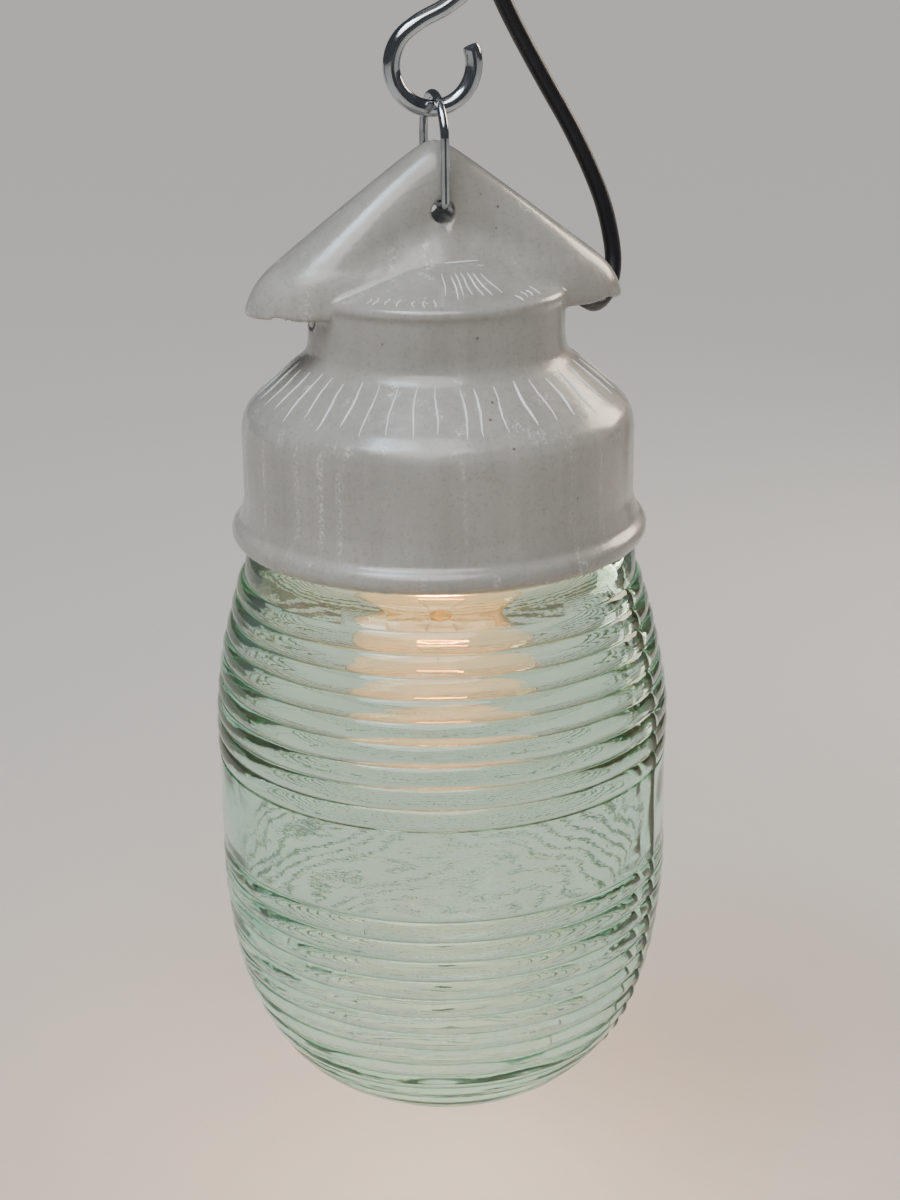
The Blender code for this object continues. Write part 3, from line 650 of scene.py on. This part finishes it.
def cap_profile():
    """Outside from the top down, round the bead, then the inside back up to the crown."""
    bead = arc((61.2, NECK - 58.2), 3.8, 75, -72, 16)
    outer = [(0, 26.0), (17, 25.6), (39.2, 16.6), (40.3, 15.4), (40.3, 14), (39.3, 12.9), (39.3, 1.0),
             (39.9, -2.4), (41.4, -4.8), (56.0, -17.2), (58.9, -20.2), (60.3, -23.4), (60.7, -27.0),
             (60.7, -48.0)]
    inner = [(61.0, -62.6), (59.6, -63.0), (53.2, -63.0), (52.3, -61.8), (52.3, -30.7), (44.5, -30.7),
             (44.5, -27.0), (35.0, -12.6), (0, -12.6)]
    return ([(r, NECK + z) for r, z in outer] + bead + [(r, NECK + z) for r, z in inner])


def ball(name, radius, centre):
    profile = [(radius * math.cos(math.radians(a)), radius * math.sin(math.radians(a)))
               for a in range(90, -91, -15)]
    made = turned(name, profile, None, 24)
    made.data.transform(Matrix.Translation(Vector(centre) * MM))
    return made


def rod(name, radius, start, end, segments=48):
    start, end = np.array(start, float), np.array(end, float)
    return swept(name, [start, (start + end) / 2, end], radius, None, segments)


def smoothed(obj, passes, factor=0.5):
    bm = bmesh.new()
    bm.from_mesh(obj.data)
    for _ in range(passes):
        bmesh.ops.smooth_vert(bm, verts=bm.verts, factor=factor, use_axis_x=True, use_axis_y=True,
                              use_axis_z=True)
    bm.to_mesh(obj.data)
    bm.free()
    return obj


def porcelain_cap():
    """The cap in one fired piece: edges are soft because everything is under one glaze."""
    cap = turned("cap_body", cap_profile(), FINISHES["porcelain"], 160)
    boolean(cap, saddle_roof(), "UNION")
    applied(cap)
    cavity = [(0, NECK + 17.0), (33.0, NECK + 17.0), (33.0, NECK - 20.0), (0, NECK - 20.0)]
    boolean(cap, turned("cavity", cavity, None, 96))
    boolean(cap, rod("bore", 3.55, (0, -40, BORE), (0, 40, BORE)))
    # The hollow under each wing, the entry from it into the neck, and the bracket's two bolt holes
    for side in (-1, 1):
        boolean(cap, wing_pocket(side))
        boolean(cap, rod(f"entry_{side}", 4.3, (25 * side, 0, ENTRY), (49 * side, 0, ENTRY)))
        boolean(cap, rod(f"seat_{side}", 6.0, (37.8 * side, 0, ENTRY), (49 * side, 0, ENTRY)))
        boolean(cap, rod(f"bolt_{side}", 2.3, (0, 9 * side, NECK + 10), (0, 9 * side, NECK + 27)))
    chip_height = BORE - 4.2
    boolean(cap, ball("bore_chip", 1.5, (0.6, -roof_front(0.6, chip_height) - 0.5, chip_height)))
    turn = math.radians(BEAD_PIT_DIRECTION)
    pit = (BEAD_PIT_RADIUS * math.sin(turn), -BEAD_PIT_RADIUS * math.cos(turn), NECK - 56.5)
    boolean(cap, ball("bead_pit", 1.5, pit))
    applied(cap)
    grid = cap.modifiers.new("grid", "REMESH")
    grid.mode = "VOXEL"
    grid.voxel_size = 0.8 * MM
    applied(cap)
    smoothed(cap, 3)
    cap.data.materials.clear()
    cap.data.materials.append(FINISHES["porcelain"])
    cap.data.shade_smooth()
    stand_for(cap, "porcelain_cap", "cap")


def glaze_line(angle, start, end, width, rng):
    """One thin raised run of glaze down a cone, between two (radius, height) points."""
    steps = 9
    points = []
    for i in range(steps + 1):
        t = i / steps
        sway = math.radians(0.5) * math.sin(5 * t + angle * 9)
        lean = angle + sway + math.radians(rng.uniform(-0.12, 0.12))
        r = start[0] + (end[0] - start[0]) * t
        z = start[1] + (end[1] - start[1]) * t
        points.append((r * math.sin(lean), -r * math.cos(lean), z + 0.02))
    fade = np.sin(np.linspace(0.12, math.pi - 0.12, steps + 1)) ** 0.5
    return swept("run", points, width * fade, FINISHES["porcelain_runs"], 8)


def glaze_runs():
    """Raised runs of thick glaze on the shoulder and, at the front and back, under the roof."""
    rng = random.Random(5)
    made = []
    turn = 0.0
    while turn < 358.0:
        high, low = rng.uniform(0.0, 0.14), rng.uniform(0.84, 1.0)
        ends = [(41.6 + 14.6 * t, NECK - 5.0 - 12.5 * t) for t in (high, low)]
        made.append(glaze_line(math.radians(turn), *ends, rng.uniform(0.28, 0.48), rng))
        turn += rng.uniform(7.2, 10.0)
    for facing in (0.0, 180.0):
        turn = -46.0
        while turn < 46.0:
            long_one = abs(turn - 5.0) < 17.0
            inner = rng.uniform(21.0, 23.5) if long_one else rng.uniform(33.0, 35.5)
            outer = rng.uniform(32.0, 35.0) if long_one else rng.uniform(36.5, 38.6)
            ends = [(r, NECK + 25.6 - 9.0 * (r - 17.0) / 22.2) for r in (inner, outer)]
            made.append(glaze_line(math.radians(facing + turn), *ends, rng.uniform(0.2, 0.36), rng))
            turn += rng.uniform(3.5, 7.5)
    # Two short ridges across the front of the roof, below its bore
    for height, start, end in ((25.9, -1.5, 9.0), (24.6, 0.5, 10.5)):
        z = NECK + height
        points = [(x, -roof_front(x, z) - 0.05, z) for x in np.linspace(start, end, 12)]
        fade = np.sin(np.linspace(0.12, math.pi - 0.12, 12)) ** 0.5
        made.append(swept("run", points, 0.4 * fade, FINISHES["porcelain_runs"], 8))
    bm = bmesh.new()
    for piece in made:
        bm.from_mesh(piece.data)
        bpy.data.objects.remove(piece, do_unlink=True)
    mesh = bpy.data.meshes.new("glaze_runs")
    bm.to_mesh(mesh)
    bm.free()
    mesh.materials.append(FINISHES["porcelain_runs"])
    mesh.shade_smooth()
    runs = linked("glaze_runs", mesh)
    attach(runs, "cap")


def wing_pocket(side):
    """An ellipsoid that hollows one wing from below."""
    profile = [(math.cos(math.radians(a)), math.sin(math.radians(a))) for a in range(90, -91, -6)]
    pocket = turned(f"pocket_{side}", profile, None, 48)
    pocket.data.transform(Matrix.Diagonal((8.2, 13.0, 12.0, 1.0)))
    pocket.data.transform(Matrix.Translation(Vector((47.5 * side, 0, POCKET_CENTRE)) * MM))
    return pocket


porcelain_cap()
glaze_runs()


# --- glass ----------------------------------------------------------------------------------


def barrel_radius(z):
    """Radius over the rib crests at a height: a shoulder, a straight waist and a rounded base."""
    if z > WAIST_TOP:
        return GLASS_RADIUS - 0.0201 * (z - WAIST_TOP) ** 1.6
    if z > WAIST_LOW:
        return GLASS_RADIUS
    depth = min(1.0, (WAIST_LOW - z) / BASE_DEPTH)
    return GLASS_RADIUS * (1 - depth ** 2.5) ** 0.318


def rib_shape(phase):
    """0 on a rib's crest and 1 in the sharp groove between two ribs."""
    return 1 - np.abs(np.sin(np.pi * phase)) ** 0.55


def glass_wall():
    """The outer wall over the rib crests, its inward direction and its grooves' depth."""
    fine = [RIB_TOP - 0.1 * i for i in range(2000)]
    path = np.array([(barrel_radius(z), z) for z in fine if z > GLASS_BOTTOM + 0.3])
    path = path[path[:, 0] > 27.0]
    gone = np.concatenate(([0], np.cumsum(np.linalg.norm(np.diff(path, axis=0), axis=1))))
    upper_end = UPPER_RIBS * RIB_PITCH
    band = float(np.interp(BAND_LOW, path[::-1, 1], gone[::-1]))
    lower_ribs = min(LOWER_RIBS, int((gone[-1] - band) / RIB_PITCH))
    lower_end = band + lower_ribs * RIB_PITCH
    stops = [rib + phase for rib in range(UPPER_RIBS) for phase in RIB_PHASES]
    wanted = [stop * RIB_PITCH for stop in stops]
    wanted += list(np.linspace(upper_end, band, 30, endpoint=False))
    wanted += [band + (rib + phase) * RIB_PITCH for rib in range(lower_ribs) for phase in RIB_PHASES]
    wanted += list(np.linspace(lower_end, gone[-1], 4))
    wanted = np.array(wanted)
    wall = np.stack([np.interp(wanted, gone, path[:, k]) for k in range(2)], axis=1)
    ahead = np.stack([np.interp(wanted + 0.3, gone, path[:, k]) for k in range(2)], axis=1)
    behind = np.stack([np.interp(wanted - 0.3, gone, path[:, k]) for k in range(2)], axis=1)
    along = ahead - behind
    along /= np.linalg.norm(along, axis=1)[:, None]
    inward = np.stack([along[:, 1], -along[:, 0]], axis=1)
    upper = rib_shape(wanted / RIB_PITCH)
    lower = rib_shape((wanted - band) / RIB_PITCH)
    plain = 0.3    # the plain stretches lie this share of a groove's depth below the crests
    depth = np.where(wanted < upper_end, upper, np.where(wanted < band, plain, lower))
    depth = RIB_DEPTH * np.where(wanted >= lower_end, plain, depth)
    return wall, inward, depth


def glass_profile():
    """Outside then inside, mouth to foot and back, each point with its groove depth and direction."""
    wall, inward, depth = glass_wall()
    rows = []
    neck = [(42.6, -34.3), (46.6, -34.3), (47.4, -34.9), (47.5, -36.0)]
    neck += [(47.5, -36.0 - 0.9 * i) for i in range(1, 29)]
    neck += [(47.6, -62.4), (49.0, -63.7), (54.0, -63.9), (58.2, -64.2), (60.2, -65.6), (61.4, -68.0)]
    rows += [(r, NECK + z, 0, 0, 0) for r, z in neck]
    rows += [(r, z, n[0], n[1], d) for (r, z), n, d in zip(wall, inward, depth)]
    foot = [(25.8, GLASS_BOTTOM + 0.1), (24.5, GLASS_BOTTOM), (21.0, GLASS_BOTTOM),
            (18.5, GLASS_BOTTOM + 0.5), (12.0, GLASS_BOTTOM + 1.6), (5.0, GLASS_BOTTOM + 2.0),
            (0.01, GLASS_BOTTOM + 2.0)]
    rows += [(r, z, 0, 0, 0) for r, z in foot]
    inside = [(0.01, GLASS_BOTTOM + 8.0), (10.0, GLASS_BOTTOM + 7.8), (24.0, GLASS_BOTTOM + 7.4)]
    for z in np.arange(-241.0, -71.0, 3.0):
        drop = 3.0 * float(ease(-z, 200, 240))
        inside.append((barrel_radius(NECK + z - drop) - GLASS_WALL - 1.0, NECK + z))
    inside += [(52.0, NECK - 67.6), (46.4, NECK - 65.4), (43.4, NECK - 63.2), (42.6, NECK - 61.0)]
    inside += [(42.6, NECK - 61.0 + 2.0 * i) for i in range(1, 13)]
    rows += [(r, z, 0, 0, 0) for r, z in inside]
    return np.array(rows)


def around_glass():
    """Angles round the glass, closer together at its two mould seams."""
    seam = math.radians(SEAM_DIRECTION - 90.0)
    steps = list(np.linspace(0, math.pi, 84, endpoint=False)[3:-2])
    near = [math.radians(0.1 * k * k * (1 if k > 0 else -1)) for k in range(-5, 6)]
    half = sorted(near + steps)
    return np.array([seam + a for a in half] + [seam + math.pi + a for a in half]), seam


def seeds(jar):
    """Small air bubbles inside the wall, as inward-facing balls in the same mesh."""
    rng = random.Random(11)
    bm = bmesh.new()
    bm.from_mesh(jar.data)
    for _ in range(BUBBLES):
        z = NECK - rng.uniform(76.0, 222.0)
        turn = rng.uniform(0, math.tau)
        r = barrel_radius(z) - rng.uniform(3.2, 4.6)
        size = rng.uniform(0.22, 0.5)
        place = Matrix.Translation(Vector((r * math.cos(turn), r * math.sin(turn), z)) * MM)
        shape = Matrix.Diagonal((size * MM, size * MM, size * MM * rng.uniform(1.0, 1.6), 1.0))
        made = bmesh.ops.create_icosphere(bm, subdivisions=1, radius=1.0, matrix=place @ shape)
        faces = {face for vert in made["verts"] for face in vert.link_faces}
        bmesh.ops.reverse_faces(bm, faces=list(faces))
        for face in faces:
            face.smooth = True
    bm.to_mesh(jar.data)
    bm.free()


def glass_jar():
    turns, seam = around_glass()
    rows = glass_profile()
    away = np.abs((turns - seam + math.pi / 2) % math.pi - math.pi / 2)
    half = ((turns - seam) % math.tau) < math.pi
    rings = []
    for r, z, inward_r, inward_z, depth in rows:
        wave = 0.10 * np.sin(3 * turns + z * 0.11) + 0.07 * np.sin(7 * turns - z * 0.23)
        outer = bool(inward_r or inward_z)
        if not outer:
            wave = wave + 0.22 * np.sin(5 * turns + z * 0.19) + 0.16 * np.sin(11 * turns - z * 0.31)
        rise = SEAM_RISE * np.exp(-(away * 70.0 / SEAM_WIDTH) ** 2) if outer else 0
        shift = np.where(half, 0.0, MOULD_STEP) if depth else 0.0
        radius = r + inward_r * depth + (wave if r > 50 else 0) + rise
        height = z + inward_z * depth + shift
        rings.append(np.stack([radius * np.cos(turns), radius * np.sin(turns),
                               np.broadcast_to(height, turns.shape)], axis=1))
    jar = skin("ribbed_glass", rings, FINISHES["green_glass"], True, False, 80)
    welded(jar)
    seeds(jar)
    jar.visible_shadow = False    # lets the studio's light through to the lamp and the floor
    stand_for(jar, "glass_jar", "glass")


glass_jar()


# --- lamp -----------------------------------------------------------------------------------


def lamp_envelope():
    top = LAMP_TOP - 23.5
    centre = LAMP_TOP - LAMP_LENGTH + GLOBE_RADIUS
    globe = arc((0, centre), GLOBE_RADIUS, 48, -89.5, 48)
    neck = [(11.2, top), (11.8, top - 2.5), (12.5, top - 7), (13.4, top - 12), (14.6, top - 16),
            (16.0, top - 20), (18.0, top - 24.2)]
    outside = neck + globe
    inside = [(max(0.01, r - 0.8), z + 0.8 * (r < 12)) for r, z in reversed(outside)]
    obj = turned("lamp_globe", outside + inside, FINISHES["lamp_glass"], 96, True, angle=60)
    obj.visible_shadow = False    # as for the jar
    stand_for(obj, "lamp_envelope", "lamp")


def lamp_filament():
    """A fine coil, as thick over its turns as the CAD's wire, which sags between its two leads."""
    points = []
    for i in range(COIL_STEPS + 1):
        x = -COIL_HALF_LENGTH + 2 * COIL_HALF_LENGTH * i / COIL_STEPS
        sag = -0.5 - 1.6 * math.cos(math.pi * x / 17.0)
        turn = math.tau * COIL_TURNS * i / COIL_STEPS
        points.append((x, COIL_RADIUS * math.cos(turn), GLOW_HEIGHT + sag + COIL_RADIUS * math.sin(turn)))
    obj = swept("lamp_coil", points, COIL_WIRE, FINISHES["filament"], 8)
    stand_for(obj, "lamp_filament", "lamp")


def screw_shell(name, node, body, slot_name, middle, wave, top, low, wall):
    """A thin drawn shell with a real screw thread of the lamp's pitch pressed into it."""
    turns = np.linspace(0, math.tau, 96, endpoint=False)
    heights = np.linspace(top, low, int((top - low) / 0.3) + 1)
    rings = []
    for inset, run in ((0.0, heights), (wall, heights[::-1])):
        for z in run:
            edge = float(ease(min(top - z, z - low), 0.0, 1.6))
            r = middle - inset + wave * edge * np.cos(math.tau * z / LAMP_PITCH - turns)
            rings.append(np.stack([r * np.cos(turns), r * np.sin(turns), np.full(96, z)], axis=1))
    obj = skin(name, rings, FINISHES[slot_name], True, False, 60)
    welded(obj)
    stand_for(obj, node, body)


def sealing_ring():
    corners = ((48.0, -31.6, 90, 0), (48.0, -33.4, 0, -90), (43.4, -33.4, 270, 180), (43.4, -31.6, 180, 90))
    profile = []
    for r, z, start, end in corners:
        profile += arc((r, NECK + z), 0.6, start, end, 5)
    obj = turned("seal_ring", profile, FINISHES["black_rubber"], 128, True)
    stand_for(obj, "sealing_ring", "seal")


def lampholder_body():
    """The lampholder, its glazed edges rounded over."""
    profile = [(0, -11.3), (20.5, -11.3), (21.5, -12.3), (21.5, -24.0), (20.2, -26.0), (20.2, -50.0),
               (21.8, -52.0), (21.8, -57.0), (20.8, -58.0), (17.2, -58.0), (16.2, -57.0), (16.2, -21.0),
               (0, -21.0)]
    obj = turned("holder_porcelain", [(r, NECK + z) for r, z in profile], FINISHES["white_porcelain"], 96)
    soft = obj.modifiers.new("soft", "BEVEL")
    soft.width = 0.5 * MM
    soft.segments = 3
    soft.limit_method = "ANGLE"
    soft.angle_limit = math.radians(30)
    applied(obj)
    for side in (-1, 1):
        y = 15.5 * side
        boolean(obj, rod(f"foot_hole_{side}", 2.0, (0, y, NECK - 5), (0, y, NECK - 19.5), 32))
    shaded(applied(obj), 35)
    stand_for(obj, "lampholder_body", "cap")


def lamp_stem():
    profile = [(0, -8.0), (4.4, -8.0), (5.0, -8.8), (5.2, -26.0), (4.9, -34.0), (4.2, -44.0), (3.4, -49.0),
               (2.4, -52.0), (1.2, -52.9), (0, -53.0)]
    obj = turned("glass_stem", [(r, LAMP_TOP + z) for r, z in profile], FINISHES["lamp_glass"], 48)
    stand_for(obj, "lamp_stem", "lamp")


lamp_envelope()
lamp_filament()
lamp_stem()
sealing_ring()
lampholder_body()
screw_shell("contact_shell", "holder_shell", "cap", "brass", 14.25, 0.3, NECK - 23.0, NECK - 53.0, 0.35)
screw_shell("cap_shell", "lamp_shell", "lamp", "steel", 12.8, 0.3, LAMP_TOP - 3.8, LAMP_TOP - 25.0, 0.35)


# --- carried-over CAD nodes -----------------------------------------------------------------


def finish_cad_nodes():
    """Gives each CAD node its slot's finish; those still shown are shaded smooth."""
    slots = {row["node"]: row["material_slot"] for row in frame["record"]["subparts"]}
    for name, obj in frame["nodes"].items():
        obj.data.materials.clear()
        obj.data.materials.append(FINISHES[slots[name]])
        if not obj.hide_render:
            shaded(obj, 35)


finish_cad_nodes()


# --- studio ---------------------------------------------------------------------------------


def studio():
    paper = Finish("floor_paper", (0.60, 0.59, 0.57), 0.95, Specular_IOR_Level=0.0)
    paper.bump((paper.noise(40, 3), 0.1, 0.5))
    floor = to_object("floor", [(-9000, -9000, FLOOR), (9000, -9000, FLOOR), (9000, 9000, FLOOR),
                                (-9000, 9000, FLOOR)], [(0, 1, 2, 3)], paper.material)
    world = bpy.data.worlds.new("studio")
    bpy.context.scene.world = world
    world.use_nodes = True
    back = world.node_tree.nodes["Background"]
    back.inputs["Color"].default_value = (0.84, 0.91, 1.0, 1.0)
    back.inputs["Strength"].default_value = 0.10
    sun = bpy.data.lights.new("sky_light", "SUN")
    sun.angle = math.radians(50)
    sun.energy = 2.9
    sun.color = (1.0, 0.985, 0.96)
    sky = linked("sky_light", sun)
    sky.rotation_euler = (math.radians(28), math.radians(-18), 0)
    softbox("overhead", (-0.45, -0.25, 0.75), (0, 0, -0.1), 0.35, 4.0, (0.62, 0.82, 1.0))
    softbox("warm_side", (0.85, 0.40, 0.20), (0, 0, -0.2), 0.40, 5.0, (1.0, 0.84, 0.64))
    flag("left_flag", (-0.75, 0.35, -0.25), 60, 90.0)
    flag("right_flag", (0.80, 0.55, -0.30), -55, 90.0)
    flag("front_flag", (0.05, -1.05, -0.45), 0, 420.0)


def flag(name, place, turn, half_width):
    """A dark card out of sight of the camera, which gives the clear glass its dark edges."""
    card = Finish(name, (0.10, 0.12, 0.11), 0.9)
    card.bump((card.noise(50, 2), 0.1, 0.5))
    half_height = 330.0
    corners = [(-half_width, 0, -half_height), (half_width, 0, -half_height),
               (half_width, 0, half_height), (-half_width, 0, half_height)]
    obj = to_object(name, corners, [(0, 1, 2, 3)], card.material)
    obj.location = place
    obj.rotation_euler = (0, 0, math.radians(turn))
    obj.visible_camera = False
    obj.visible_shadow = False
    obj.visible_diffuse = False


def softbox(name, place, target, size, power, colour):
    data = bpy.data.lights.new(name, "AREA")
    data.size = size
    data.energy = power
    data.color = colour
    obj = linked(name, data)
    obj.location = place
    obj.rotation_mode = "QUATERNION"
    obj.rotation_quaternion = (Vector(target) - Vector(place)).to_track_quat("-Z", "Y")


studio()
